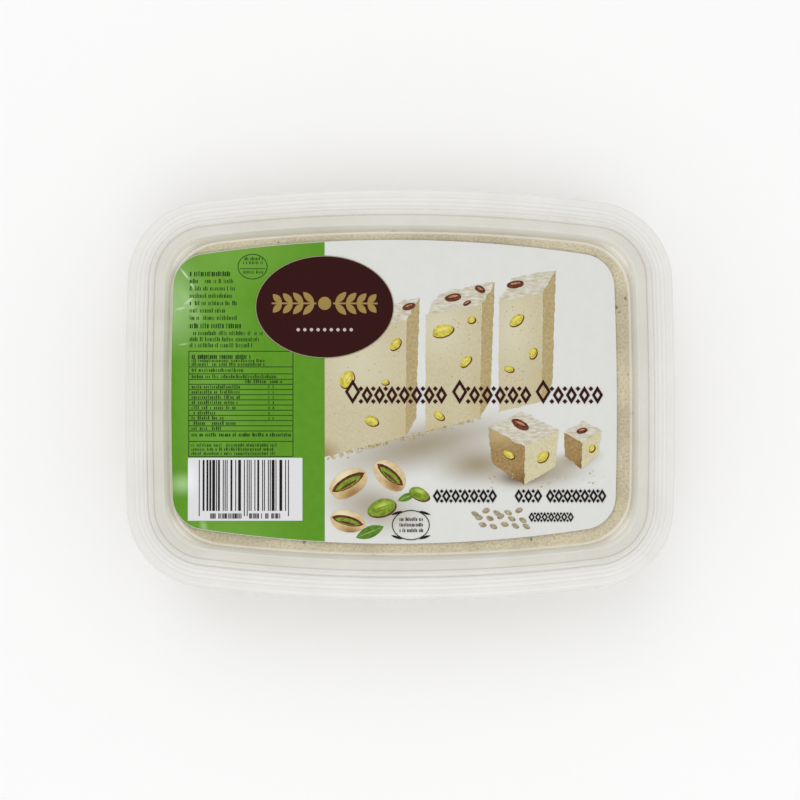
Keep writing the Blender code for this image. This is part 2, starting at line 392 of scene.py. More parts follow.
# The seat's first point carries the painted shade by the lid's skirt.
inside = [
    (SKIRT_OUTER - SEAT_PAINTED_SHADE_OUT, seat, 0.0, SEAT_PAINTED_SHADE),
    (RIM_OUTER, seat, RIM_ROUND / 2),
    (RIM_OUTER + RIM_DRAFT, RIM_TOP, RIM_ROUND),
    (RIM_INNER, RIM_TOP, RIM_ROUND),
    (wall_inset(FLOOR_TOP), FLOOR_TOP, INNER_BASE_ROUND),
    (wall_inset(FLOOR_TOP) + 2 * INNER_BASE_ROUND, FLOOR_TOP),
]
root = seat - PLASTIC
foot_outer = wall_inset(0.0) - PLASTIC
foot_inner = foot_outer + OUTER_BASE_ROUND + FOOT_WIDTH
outside = [
    (foot_inner + FOOT_SLOPE, FOOT_RECESS),
    (foot_inner, 0.0, RIM_ROUND),
    (foot_outer, 0.0, OUTER_BASE_ROUND),
    (wall_inset(root) - PLASTIC, root, ROOT_ROUND),
    (PLASTIC + APRON_DRAFT, APRON_SHOULDER - PLASTIC, APRON_SHOULDER_ROUND - PLASTIC / 2),
    (PLASTIC, APRON_FOOT, APRON_LIP_ROUND),
    (0.0, APRON_FOOT, APRON_LIP_ROUND),
]
tub = moulded("tub_moulding", tub_outline(3.0 * MM), rounded(outside + apron + inside), tub_plastic)
tub.visible_shadow = False
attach(tub, "root")
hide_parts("tub")

# The halva: sesame paste and hot sugar syrup, pressed into the tub while it is warm, so
# that it fills it to the wall and up to the lid. Its surface is finely crumbed, with oily
# patches where it lies tight on the plastic, and a few dark specks.
HALVA_INTO_WALL = 0.15 * MM
HALVA_TOP = lid_low.z + 0.12 * MM
HALVA_EDGE_ROUND = 0.6 * MM
HALVA_BAND = 8.0 * MM
HALVA_STEP = 0.8 * MM
CRUMB_RELIEF = 0.22 * MM
CRUMBS_PER_METRE = 650.0


def resampled(path, reach):
    """A path with points added, so that no stretch is longer than reach."""
    points = [path[0]]
    for here, after in zip(path, path[1:]):
        pieces = math.ceil((after - here).to_2d().length / reach)
        points += [here.lerp(after, piece / pieces) for piece in range(1, pieces + 1)]
    return points


halva_block, tree, shader = new_finish("halva_block", 0.6, Specular_IOR_Level=0.35)
crumb = clouded(tree, 1400.0, 6.0)
dry = ramped(tree, crumb, (
    (0.30, chart(191, 176, 139)), (0.48, chart(216, 204, 169)), (0.66, chart(229, 220, 192)),
))
patches = ramped(tree, clouded(tree, 75.0, 3.0), (
    (0.38, (0.80, 0.78, 0.72, 1)), (0.50, (0.92, 0.915, 0.90, 1)), (0.64, (1, 1, 1, 1)),
))
blended = mixed(tree, 1.0, dry, patches, "MULTIPLY")
specks = ramped(tree, clouded(tree, 420.0, 1.0), ((0.745, (0, 0, 0, 1)), (0.785, (1, 1, 1, 1))))
speckled = mixed(tree, specks, blended, chart(118, 94, 64))
tree.links.new(speckled, shader.inputs["Base Color"])
bumped(tree, shader, crumb, 0.25 * MM)

halva_side = wall_inset(HALVA_TOP) - HALVA_INTO_WALL
halva_base = wall_inset(FLOOR_TOP) - HALVA_INTO_WALL
halva_low = FLOOR_TOP - HALVA_INTO_WALL
halva_section = resampled(rounded([
    (halva_base + 2 * INNER_BASE_ROUND, halva_low), (halva_base, halva_low, INNER_BASE_ROUND),
    (halva_side, HALVA_TOP, HALVA_EDGE_ROUND), (halva_side + HALVA_BAND, HALVA_TOP),
], chord=HALVA_STEP), HALVA_STEP)
halva = moulded(
    "halva_filling", tub_outline(HALVA_STEP), halva_section, halva_block, CRUMB_RELIEF, CRUMBS_PER_METRE
)
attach(halva, "root")
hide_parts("halva")

# The lid: one thinner moulding in the same plastic. Its skirt presses over the tub's
# rim, a raised bead runs round its edge, and inside a flat land the wall of a shallow
# recess slopes down to the panel that the label is stuck to.
LID_SHEET = 0.85 * MM
LID_TOP = lid_high.z
LAND_DROP = 0.8 * MM
SKIRT_GAP = 0.3 * MM
BEAD_WIDTH = 1.4 * MM
BEAD_ROUND = 0.5 * MM
BEAD_FOOT_ROUND = 0.25 * MM
RECESS_TOP = 10.85 * MM
RECESS_BOTTOM = 12.7 * MM
RECESS_ROUND = 0.4 * MM
PANEL_TOP = lid_low.z + LID_SHEET
RECESS_FOOT_CORNER = 15.5 * MM
PANEL_EDGE = 1.0 * MM
# Edge marks on the lid's section: painted highlights on the recess's foot and shoulder and on the bead,
# painted light on the middle of the recess wall, and painted shade at the bead's foot.
FOOT_PAINTED_HIGHLIGHT, WALL_PAINTED_LIGHT, SHOULDER_PAINTED_HIGHLIGHT = 0.6, 0.3, 0.3
BEAD_PAINTED_HIGHLIGHT, BEAD_PAINTED_SHADE = 0.08, -0.3


def drawn_corners(ring):
    """Shifts from each point of a ring that round the corners of the recess's foot."""
    foot = outline(
        TUB_LENGTH - 2 * RECESS_BOTTOM, TUB_WIDTH - 2 * RECESS_BOTTOM,
        LONG_SIDE_BOW - RECESS_BOTTOM, SHORT_SIDE_BOW - RECESS_BOTTOM, RECESS_FOOT_CORNER, 1.0 * MM
    )
    draws = []
    for before, here, after in zip(ring[-1:] + ring[:-1], ring, ring[1:] + ring[:1]):
        inward = Vector((before.y - after.y, after.x - before.x)).normalized()
        start = here + inward * RECESS_BOTTOM
        ends = start - inward * RECESS_BOTTOM / 2, start + inward * RECESS_BOTTOM
        hits = [intersect_line_line_2d(*ends, a, b) for a, b in zip(foot, foot[1:] + foot[:1])]
        depth = min((hit - start).dot(inward) for hit in hits if hit)
        draws.append((inward * max(0.0, depth)).to_3d())
    return draws


land = LID_TOP - LAND_DROP
lid_plastic = milky_plastic(
    "lid_plastic", chart(232, 230, 223), chart(225, 223, 214), clear=0.15, dense=0.80,
    haze=0.55, haze_start=PANEL_TOP + 0.5 * MM, haze_end=land
)
skirt_foot = seat + SKIRT_GAP
slope = Vector((RECESS_BOTTOM - RECESS_TOP, PANEL_TOP - land)).normalized()
back_off = Vector((slope.y, -slope.x)) * LID_SHEET
wall_at_land = RECESS_TOP + back_off.x + (LID_SHEET + back_off.y) * -slope.x / slope.y
wall_at_panel = wall_at_land + RECESS_BOTTOM - RECESS_TOP
panel_end = RECESS_BOTTOM + PANEL_EDGE
bead_end = SKIRT_OUTER + BEAD_WIDTH
lid_under = [
    (panel_end, PANEL_TOP - LID_SHEET),
    (wall_at_panel, PANEL_TOP - LID_SHEET, RECESS_ROUND),
    (wall_at_land, land - LID_SHEET, BEAD_FOOT_ROUND),
    (SKIRT_OUTER + LID_SHEET + RIM_DRAFT, land - LID_SHEET, BEAD_FOOT_ROUND),
    (SKIRT_OUTER + LID_SHEET, skirt_foot),
    (SKIRT_OUTER, skirt_foot),
]
# The bead's top carries a painted highlight and its foot painted shade; the recess's shoulder, wall and
# foot carry painted light.
lid_over = [
    (SKIRT_OUTER + RIM_DRAFT, LID_TOP, BEAD_ROUND, BEAD_PAINTED_HIGHLIGHT),
    (bead_end, LID_TOP, BEAD_ROUND, BEAD_PAINTED_HIGHLIGHT),
    (bead_end + RIM_DRAFT, land, BEAD_FOOT_ROUND, BEAD_PAINTED_SHADE),
    (RECESS_TOP, land, RECESS_ROUND, SHOULDER_PAINTED_HIGHLIGHT),
    ((RECESS_TOP + RECESS_BOTTOM) / 2, (land + PANEL_TOP) / 2, 0.0, WALL_PAINTED_LIGHT),
    (RECESS_BOTTOM, PANEL_TOP, RECESS_ROUND, FOOT_PAINTED_HIGHLIGHT),
    (panel_end, PANEL_TOP),
]
lid_ring, lid_section = tub_outline(2.0 * MM), rounded(lid_under + lid_over)
foot_shares = [min(1.0, max(0.0, (p.x - RECESS_TOP) / (RECESS_BOTTOM - RECESS_TOP))) for p in lid_section]
lid = moulded(
    "lid_moulding", lid_ring, lid_section, lid_plastic, draws=drawn_corners(lid_ring), shares=foot_shares
)
lid.visible_shadow = False
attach(lid, "root")
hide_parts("lid")

# The label: a coated film, die cut to the panel with round corners and stuck down a
# little to the left of its middle. The film is white, and inks lie on it in thin layers.
# Places on it are in millimetres from its middle.
label_low, label_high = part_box("label")
LABEL_X = (label_low.x + label_high.x) / 2 - 0.15 * MM
LABEL_Y = 0.45 * MM
LABEL_LENGTH = label_high.x - label_low.x + 0.8 * MM
LABEL_WIDTH = label_high.y - label_low.y + 0.5 * MM
LABEL_LONG_BOW = 371.0 * MM
LABEL_SHORT_BOW = 900.0 * MM
LABEL_CORNER = 9.6 * MM
LABEL_STEP = 4.0 * MM
LABEL_FOOT = PANEL_TOP + 0.02 * MM
INK_LAYER = 0.02 * MM
INK_LAYERS = 9
INK_INTO_FILM = INK_LAYER / 3
SHAPE_STEP, SHAPE_STEPS = 0.0004 * MM, 24
FILM_TOP = label_high.z - INK_LAYERS * INK_LAYER
FIELD_EDGE = -19.9
BARE_RIM = 0.12


def turned_left(loop):
    """The loop, going anticlockwise."""
    area = sum(a.x * b.y - b.x * a.y for a, b in zip(loop, loop[1:] + loop[:1]))
    return loop if area > 0 else loop[::-1]


def flat_shapes(name, shapes, low, high, material):
    """Thin flat shapes, each a loop or a pair of loops with a band between them, and each a
    hair over the last."""
    sheet = bmesh.new()

    def level(loop, height):
        return [sheet.verts.new((LABEL_X + p.x * MM, LABEL_Y + p.y * MM, height)) for p in loop]

    def wall(under, over, flip):
        for i in range(len(under)):
            after = (i + 1) % len(under)
            side = (under[i], under[after], over[after], over[i])
            sheet.faces.new(side[::-1] if flip else side)

    for number, shape in enumerate(shapes):
        shape = shape if isinstance(shape, tuple) else (shape,)
        loops = [turned_left([Vector(p) for p in loop]) for loop in shape]
        unders = [level(loop, low) for loop in loops]
        overs = [level(loop, high + number % SHAPE_STEPS * SHAPE_STEP) for loop in loops]
        for flip, (under, over) in enumerate(zip(unders, overs)):
            wall(under, over, flip)
        if len(loops) == 1:
            sheet.faces.new(overs[0])
            sheet.faces.new(unders[0][::-1])
        else:
            wall(overs[0], overs[1], False)
            wall(unders[0], unders[1], True)
    mesh = bpy.data.meshes.new(name)
    sheet.to_mesh(mesh)
    sheet.free()
    mesh.materials.append(material)
    return placed(name, mesh)


def printed(name, shapes, layer, ink):
    """Shapes of one ink on the film, above those of lower layers."""
    piece = flat_shapes(name, shapes, FILM_TOP - INK_INTO_FILM, FILM_TOP + layer * INK_LAYER, ink)
    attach(piece, "root")


def ink_of(name, colour, fleck, spread=0.8, scale=900.0, spots=(), stretch=(1, 1, 1)):
    """Ink under a thin varnish, a little uneven, its colours in steps of 0 to 255. Spots are
    soft-edged ovals of another tint: middle, half sizes, turn, colour and strength."""
    material, tree, shader = new_finish(name, 0.35, Specular_IOR_Level=0.12)
    grain = clouded(tree, scale, 3.0, stretch)
    stops = (0.5 - spread / 4, chart(*fleck)), (0.5 + spread / 4, chart(*colour))
    tint = ramped(tree, grain, stops)
    place = fed(tree, "ShaderNodeTexCoord", output="Object")
    for x, y, half_length, half_width, turn, spot_colour, strength in spots:
        oval = fed(tree, "ShaderNodeMapping", {
            "Vector": place, "Location": (LABEL_X + x * MM, LABEL_Y + y * MM, FILM_TOP),
            "Rotation": (0, 0, math.radians(turn)), "Scale": (half_length * MM, half_width * MM, 1),
        }, vector_type="TEXTURE")
        ball = fed(tree, "ShaderNodeTexGradient", {"Vector": oval}, "Fac", gradient_type="SPHERICAL")
        soft = fed(tree, "ShaderNodeMapRange", {
            "Value": ball, "To Max": strength,
        }, interpolation_type="SMOOTHSTEP")
        tint = mixed(tree, soft, tint, chart(*spot_colour))
    tree.links.new(tint, shader.inputs["Base Color"])
    return material


def cut_at(loop, place, keep_left):
    """The part of a loop on one side of an upright line."""
    kept = []
    for here, after in zip(loop, loop[1:] + loop[:1]):
        inside_here = (here.x < place) == keep_left
        if inside_here:
            kept.append(here)
        if inside_here != ((after.x < place) == keep_left):
            kept.append(here.lerp(after, (place - here.x) / (after.x - here.x)))
    return kept


def label_outline(margin):
    """The label's outline, a margin in, in millimetres."""
    return [p / MM for p in outline(
        LABEL_LENGTH - 2 * margin * MM, LABEL_WIDTH - 2 * margin * MM,
        LABEL_LONG_BOW, LABEL_SHORT_BOW, LABEL_CORNER - margin * MM, LABEL_STEP
    )]


# Most of the film is white, with grey-brown shadows under what is pictured on it. The
# left third is green, with a paler painted sheen towards its left edge, painted glare and
# painted highlights along creases in the film.
SHADOW, DEEP_SHADOW = (150, 136, 108), (92, 62, 40)
white_film = ink_of("label_white", (220, 221, 217), (217, 218, 214), scale=300.0, spots=(
    (8.0, -15.5, 38.0, 10.0, 13, SHADOW, 0.85), (24.0, -21.0, 17.0, 8.0, 4, SHADOW, 0.9),
    (42.0, -23.5, 20.0, 6.5, 6, SHADOW, 0.8), (36.0, -24.6, 9.0, 3.6, 4, DEEP_SHADOW, 0.9),
    (-6.0, -33.0, 19.0, 10.0, -12, SHADOW, 0.75), (52.0, -19.5, 10.0, 3.6, 8, SHADOW, 0.7),
))
film = flat_shapes("label_film", [label_outline(0.0)], LABEL_FOOT, FILM_TOP, white_film)
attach(film, "root")
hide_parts("label")

# Painted glare, painted highlights along the film's creases, and a paler painted sheen towards the green's
# left edge.
GLARE, CREASE_PAINTED_HIGHLIGHT, GREEN_PAINTED_SHEEN = (168, 205, 140), (206, 226, 192), (118, 168, 66)
green_ink = ink_of("label_green", (93, 148, 36), (88, 143, 30), scale=400.0, spots=(
    (-52.0, 8.0, 16.0, 60.0, 0, GREEN_PAINTED_SHEEN, 0.6), (-46.0, 40.0, 30.0, 14.0, 4, GREEN_PAINTED_SHEEN, 0.6),
    (-46.0, -40.0, 24.0, 10.0, -4, GREEN_PAINTED_SHEEN, 0.5), (-64.0, 25.0, 12.0, 18.0, 0, GLARE, 0.7),
    (-58.5, 25.0, 2.4, 8.0, 30, GLARE, 0.5), (-60.5, -26.6, 6.0, 4.4, 4, GLARE, 0.8),
    (-60.0, 33.7, 3.0, 0.5, -51, CREASE_PAINTED_HIGHLIGHT, 0.9), (-57.9, 30.4, 1.6, 0.45, -58, CREASE_PAINTED_HIGHLIGHT, 0.7),
    (-58.9, 26.0, 2.9, 0.5, 41, CREASE_PAINTED_HIGHLIGHT, 0.7), (-61.2, 23.8, 2.3, 0.5, 13, CREASE_PAINTED_HIGHLIGHT, 0.7),
    (-60.4, 13.5, 2.0, 0.4, 8, CREASE_PAINTED_HIGHLIGHT, 0.5), (-54.5, -38.6, 1.6, 2.6, 20, GLARE, 0.6),
))
printed("label_green_field", [cut_at(label_outline(BARE_RIM), FIELD_EDGE, True)], 1, green_ink)


def ellipse(x, y, half_length, half_width, turn=0.0, steps=24):
    """An oval round a place, turned by degrees."""
    tilt = Matrix.Rotation(math.radians(turn), 2)
    return [
        Vector((x, y)) + tilt @ Vector((half_length * math.cos(a), half_width * math.sin(a)))
        for a in (math.tau * step / steps for step in range(steps))
    ]


def oval_line(x, y, half_length, half_width, width, steps=72):
    """A closed oval line of a width."""
    return tuple(ellipse(x, y, half_length - i, half_width - i, steps=steps) for i in (0, width))


def bar(x, y, length, height):
    """A bar, from its left end's middle."""
    low, high = y - height / 2, y + height / 2
    return [Vector(p) for p in ((x, low), (x + length, low), (x + length, high), (x, high))]


def leaf(x, y, length, width, turn, steps=8, fullness=0.8):
    """A pointed leaf from its stalk end, turned by degrees."""
    tilt = Matrix.Rotation(math.radians(turn), 2)
    places = [step / steps for step in range(steps + 1)]
    upper = [Vector((length * t, width / 2 * math.sin(math.pi * t) ** fullness)) for t in places]
    lower = [Vector((p.x, -p.y)) for p in reversed(upper[1:-1])]
    return [Vector((x, y)) + tilt @ p for p in upper + lower]


# The small print spells nothing: it is upright strokes in rows, of uneven width and
# height and with gaps, as print is at that size. One tree sets them out.
GAP_SHARE, TALL_SHARE = 0.14, 0.28
ROW_END = 0.5001
STROKE_SHARE = 0.5
BOLD_WEIGHT, BOLD_SHARE = 0.32, 0.62
ROWS, given, ROWS_IDS = tree_with("Strokes in rows", (
    ("Stroke", "Geometry"), ("Across", "Int"), ("Down", "Int"), ("Pitch across", "Float"),
    ("Pitch down", "Float"), ("Taller", "Float"), ("Ragged", "Float"), ("Seed", "Int"),
    ("Material", "Material"),
))
across, down = given["Across"], given["Down"]


def drawn(low, high, shift=0, **identity):
    """A random number for each place, or for each row where that is its identity."""
    seed = maths(ROWS, "ADD", given["Seed"], shift)
    return fed(ROWS, "FunctionNodeRandomValue", {2: low, 3: high, "Seed": seed, **identity}, 1)


length = maths(ROWS, "MULTIPLY", maths(ROWS, "SUBTRACT", across, 1), given["Pitch across"])
height = maths(ROWS, "MULTIPLY", maths(ROWS, "SUBTRACT", down, 1), given["Pitch down"])
grid = fed(ROWS, "GeometryNodeMeshGrid", {
    "Size X": length, "Size Y": height, "Vertices X": across, "Vertices Y": down,
})
row = maths(ROWS, "MODULO", fed(ROWS, "GeometryNodeInputIndex"), down)
cut = maths(ROWS, "MULTIPLY", drawn(0.0, 1.0, ID=row), given["Ragged"])
row_end = maths(ROWS, "MULTIPLY", maths(ROWS, "SUBTRACT", ROW_END, cut), length)
place = fed(ROWS, "GeometryNodeInputPosition")
along = fed(ROWS, "ShaderNodeSeparateXYZ", {"Vector": place}, "X")
beyond = maths(ROWS, "GREATER_THAN", along, row_end)
gap = maths(ROWS, "GREATER_THAN", drawn(0.0, 1.0, 1), 1 - GAP_SHARE)
left_out = maths(ROWS, "MAXIMUM", beyond, gap)
trimmed = fed(ROWS, "GeometryNodeDeleteGeometry", {"Geometry": grid, "Selection": left_out})
tall = maths(ROWS, "GREATER_THAN", drawn(0.0, 1.0, 2), 1 - TALL_SHARE)
taller = maths(ROWS, "ADD", 1.0, maths(ROWS, "MULTIPLY", tall, given["Taller"]))
stretch = fed(ROWS, "ShaderNodeCombineXYZ", {"X": drawn(0.7, 1.5, 3), "Y": taller, "Z": 1.0})
set_out = fed(ROWS, "GeometryNodeInstanceOnPoints", {
    "Points": trimmed, "Instance": given["Stroke"], "Scale": stretch,
})
end_tree(ROWS, set_out, given["Material"])


def small_print(ink, layer, seed, name, left, foot, width, height, weight, rows=1, pitch=1.0,
                ragged=0.0, taller=0.35):
    """Rows of strokes from the left end of the first row's foot line, the rows going down."""
    across = round(width / weight * (BOLD_SHARE if weight >= BOLD_WEIGHT else STROKE_SHARE))
    shape = bar(0, height / 2, weight, height)
    stroke = flat_shapes(name + "_stroke", [shape], -INK_INTO_FILM, layer * INK_LAYER, ink)
    stroke.data.transform(Matrix.Translation((-LABEL_X, -LABEL_Y, 0)))
    values = {
        "Across": across, "Down": rows, "Pitch across": width / (across - 1) * MM,
        "Pitch down": pitch * MM, "Taller": taller, "Ragged": ragged, "Seed": seed, "Material": ink,
    }
    piece = grown(name, stroke, ROWS, {ROWS_IDS[key]: value for key, value in values.items()})
    x, y = left + width / 2, foot - (rows - 1) * pitch / 2
    place = Vector((LABEL_X + x * MM, LABEL_Y + y * MM, FILM_TOP))
    piece.data.transform(Matrix.Translation(place))
    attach(piece, "root")


SMALL_LEFT = -58.6
FINE, LIGHT, MEDIUM, BOLD, BOLDEST = 0.2, 0.24, 0.28, 0.34, 0.36
HEADING = (1, 1.0, 0.0, 0.15)
STAMP = (-40.6, 35.9, 4.3, 3.7)
dark_green_ink = ink_of("label_dark_green", (30, 60, 16), (38, 72, 20))
black_ink = ink_of("label_black", (22, 14, 14), (30, 22, 22))
stamp_lines = [oval_line(*STAMP, 0.25, steps=32), bar(-44.2, 35.3, 7.2, 0.22)]
printed("stamp_line", stamp_lines, 2, dark_green_ink)
for seed, block in enumerate((
    ("stamp_strokes_over", -43.3, 36.6, 5.4, 0.8, FINE, 2, -1.1),
    ("stamp_strokes_under", -43.3, 33.9, 5.4, 0.7, FINE),
    ("heading_strokes", SMALL_LEFT, 33.1, 11.2, 1.25, BOLDEST, *HEADING),
    ("address_strokes", SMALL_LEFT, 31.1, 18.0, 0.95, LIGHT, 6, 2.12, 0.45),
    ("contents_heading", SMALL_LEFT, 18.1, 14.2, 1.25, BOLDEST, *HEADING),
    ("contents_strokes", SMALL_LEFT, 16.1, 22.0, 0.95, LIGHT, 3, 1.75, 0.25),
), 2):
    small_print(dark_green_ink, 2, seed, *block)

# A table under them is ruled off, with one row of strokes or more between its rules.
TABLE_LEFT, TABLE_RIGHT, TABLE_TOP, TABLE_FOOT = -58.8, -29.0, 11.5, -18.7
RULE, ROW_PITCH, ROW_START = 0.24, 1.49, SMALL_LEFT + 0.6
rule_heights = [TABLE_TOP, 7.0, 5.0, 3.43]
rule_heights += [2.0 - ROW_PITCH * n for n in range(10)] + [-14.4, TABLE_FOOT]
rules = [bar(TABLE_LEFT, y, TABLE_RIGHT - TABLE_LEFT, RULE) for y in rule_heights]
for x in (TABLE_LEFT, TABLE_RIGHT):
    rules.append(bar(x - RULE / 2, (TABLE_TOP + TABLE_FOOT) / 2, RULE, TABLE_TOP - TABLE_FOOT + RULE))
printed("table_rules", rules, 2, dark_green_ink)
for seed, block in enumerate((
    ("table_heading", ROW_START, 9.3, 16.5, 1.1, BOLD, *HEADING),
    ("table_subheading", ROW_START, 8.35, 20.5, 0.7, LIGHT, 2, 1.05),
    ("table_share", ROW_START, 5.55, 14.5, 0.8, LIGHT),
    ("table_energy", ROW_START, 3.75, 24.0, 0.75, LIGHT),
    ("table_daily", SMALL_LEFT + 16.0, 2.35, 10.0, 0.7, BOLD),
    ("table_names", ROW_START, 0.8, 14.0, 0.72, MEDIUM, 9, ROW_PITCH, 0.55),
    ("table_amounts", SMALL_LEFT + 22.6, 0.8, 1.2, 0.72, LIGHT, 7, ROW_PITCH),
    ("table_source", ROW_START, -13.0, 28.0, 0.8, BOLD),
    ("table_foot", ROW_START, -15.9, 24.5, 0.7, LIGHT, 3, 1.2, 0.1),
), 8):
    small_print(dark_green_ink, 3, seed, *block)

# A white box is printed over the green. It holds upright stripes from a seeded draw, the
# outer and middle ones longer, with strokes between their feet.
BOX_LEFT, BOX_TOP, BOX_WIDTH, BOX_HEIGHT = -59.0, -19.1, 32.7, 18.0
STRIPES_LEFT, STRIPES_WIDTH, STRIPES_TOP = -55.9, 26.0, BOX_TOP - 0.6
STRIPE_FOOT, LONG_STRIPE_FOOT, LONG_SHARE = -34.3, -35.8, 0.035
THIN_STRIPE = 0.274
# The white box's ink has a brighter, cooler spot of painted glare at its left edge.
box_ink = ink_of("label_box_white", (222, 222, 224), (219, 219, 221), spots=(
    (-59.5, -25.0, 5.0, 7.0, 8, (240, 243, 246), 0.8),
))
printed("code_box", [bar(BOX_LEFT, BOX_TOP - BOX_HEIGHT / 2, BOX_WIDTH, BOX_HEIGHT)], 3, box_ink)
draw = random.Random(21)
stripes, place = [], STRIPES_LEFT
while place < STRIPES_LEFT + STRIPES_WIDTH:
    width = THIN_STRIPE * draw.choice((1, 1, 2, 2, 3))
    along = (place - STRIPES_LEFT) / STRIPES_WIDTH
    is_long = min(along, abs(along - 0.5), 1 - along) < LONG_SHARE
    foot = LONG_STRIPE_FOOT if is_long else STRIPE_FOOT
    stripes.append(bar(place, (STRIPES_TOP + foot) / 2, width, STRIPES_TOP - foot))
    place += width + THIN_STRIPE * draw.choice((1, 1, 2, 3))
printed("code_stripes", stripes, 4, black_ink)
for number, start in enumerate((3.3, 14.4)):
    block = (f"code_foot_{number + 1}", STRIPES_LEFT + start, -36.5, 8.6, 1.5, BOLD)
    small_print(black_ink, 4, 22 + number, *block, taller=0.0)

# What is pictured: three upright slabs of cut halva in a row, two small cubes in front of
# them, split nuts, kernels and leaves, and a few seeds. The faces are flat fields of ink,
# with soft tints for the light on them. Cut faces are cream, tops floury, sides in shade.
CREAM, PALE_CREAM, WARM_CREAM = (203, 194, 164), (213, 208, 182), (190, 174, 130)
DEEP_TAN = (150, 112, 68)
face_ink = ink_of("picture_cut_face", CREAM, (194, 184, 149), 0.7, 1500.0, (
    (-10.0, 8.0, 15.0, 16.0, 0, PALE_CREAM, 0.6), (3.0, -12.0, 8.0, 16.0, 0, WARM_CREAM, 0.5),
    (-21.0, -18.5, 8.0, 6.0, 10, DEEP_TAN, 0.8), (13.0, 18.0, 12.0, 14.0, 0, PALE_CREAM, 0.7),
    (25.0, -4.0, 6.0, 18.0, 0, WARM_CREAM, 0.6), (34.0, 18.0, 9.0, 16.0, 0, PALE_CREAM, 0.7),
    (43.0, 2.0, 7.0, 14.0, 0, WARM_CREAM, 0.5), (12.0, -11.0, 8.0, 4.0, 14, WARM_CREAM, 0.6),
))
side_ink = ink_of("picture_side_face", (186, 170, 128), (166, 146, 100), 0.8, 1300.0)
flour_ink = ink_of(
    "picture_floury_top", (216, 212, 200), (186, 179, 154), 0.6, 900.0, stretch=(0.5, 1.7, 1)
)
UNDER_SHADE = (112, 76, 42)
shade_ink = ink_of("picture_shaded_face", (170, 144, 98), (142, 112, 68), 0.8, 1500.0, (
    (30.0, -12.0, 9.0, 6.0, 0, (192, 172, 126), 0.7), (37.0, -26.0, 7.0, 5.0, 0, UNDER_SHADE, 0.8),
    (54.0, -22.0, 5.0, 4.0, 0, UNDER_SHADE, 0.7),
))
lit_ink = ink_of("picture_lit_face", (212, 205, 172), (200, 190, 150), 0.7, 1500.0)


def crumbled(corners, wander, seed, stretch=0.9):
    """A shape with straight sides whose edges wander, as crumbly food breaks."""
    draw = random.Random(seed)
    loop = []
    for here, after in zip(corners, corners[1:] + corners[:1]):
        here, after = Vector(here), Vector(after)
        pieces = max(1, round((after - here).length / stretch))
        for piece in range(pieces):
            shift = Vector((draw.uniform(-1, 1), draw.uniform(-1, 1))) * wander
            loop.append(here.lerp(after, piece / pieces) + shift)
    return loop


def picture_part(shapes):
    """Shapes, trimmed where the green field starts."""
    return [cut_at(shape, FIELD_EDGE, False) for shape in shapes]


def pictured(blocks, faces):
    """One piece for each kind of face that cut blocks have. A kind has a name, the numbers of
    its corners, how far its edges wander, a seed, a layer and an ink."""
    for name, picks, wander, seed, layer, ink in faces:
        shapes = [
            crumbled([block[pick] for pick in picks], wander, seed + number)
            for number, block in enumerate(blocks)
        ]
        printed(name, picture_part(shapes), layer, ink)


# Corners of each slab's cut face: feet left and right, then tops right and left. The other
# three are the far ones of its side and its top.
SLABS = (
    ((-26.0, -20.5), (3.2, -13.0), (3.6, 20.8), (-26.0, 13.5)),
    ((9.0, -11.6), (24.6, -7.5), (25.2, 25.2), (9.2, 21.8)),
    ((30.0, -6.0), (42.4, -2.8), (42.8, 28.6), (30.2, 26.0)),
)
SLAB_DEPTH, FAR_FOOT_SHARE = Vector((3.8, 6.4)), 0.8
slab_corners = []
for near in SLABS:
    near = [Vector(p) for p in near]
    far = [near[1] + SLAB_DEPTH * FAR_FOOT_SHARE, near[2] + SLAB_DEPTH, near[3] + SLAB_DEPTH]
    slab_corners.append(near + far)
pictured(slab_corners, (
    ("picture_slab_sides", (1, 4, 5, 2), 0.14, 40, 2, side_ink),
    ("picture_slab_fronts", (0, 1, 2, 3), 0.16, 30, 3, face_ink),
    ("picture_slab_tops", (3, 2, 5, 6), 0.4, 50, 4, flour_ink),
))

# Corners of each cube: the shaded face's four from its top left, the lit face's two at the
# right, and the top's far one.
CUBES = (
    ((27.0, -10.5), (37.6, -15.8), (37.2, -27.0), (28.0, -20.6),
     (47.2, -11.2), (46.2, -21.6), (36.6, -6.0)),
    ((48.6, -11.8), (54.0, -14.8), (53.6, -22.2), (49.0, -18.6),
     (59.4, -11.4), (58.6, -18.2), (54.2, -8.6)),
)
pictured(CUBES, (
    ("picture_cube_shades", (0, 1, 2, 3), 0.18, 60, 4, shade_ink),
    ("picture_cube_lights", (1, 4, 5, 2), 0.16, 62, 5, lit_ink),
    ("picture_cube_tops", (0, 1, 4, 6), 0.35, 64, 6, flour_ink),
))


def nut_shape(x, y, size, squash, turn, seed, steps=18):
    """An uneven oval, as a nut is."""
    draw = random.Random(seed)
    ease = [draw.uniform(0.9, 1.08) for _ in range(steps)]
    evened = [(ease[i - 1] + 2 * ease[i] + ease[(i + 1) % steps]) / 4 for i in range(steps)]
    tilt = Matrix.Rotation(math.radians(turn), 2)
    oval = ellipse(0, 0, size, size * squash, steps=steps)
    return [Vector((x, y)) + tilt @ (p * share) for p, share in zip(oval, evened)]


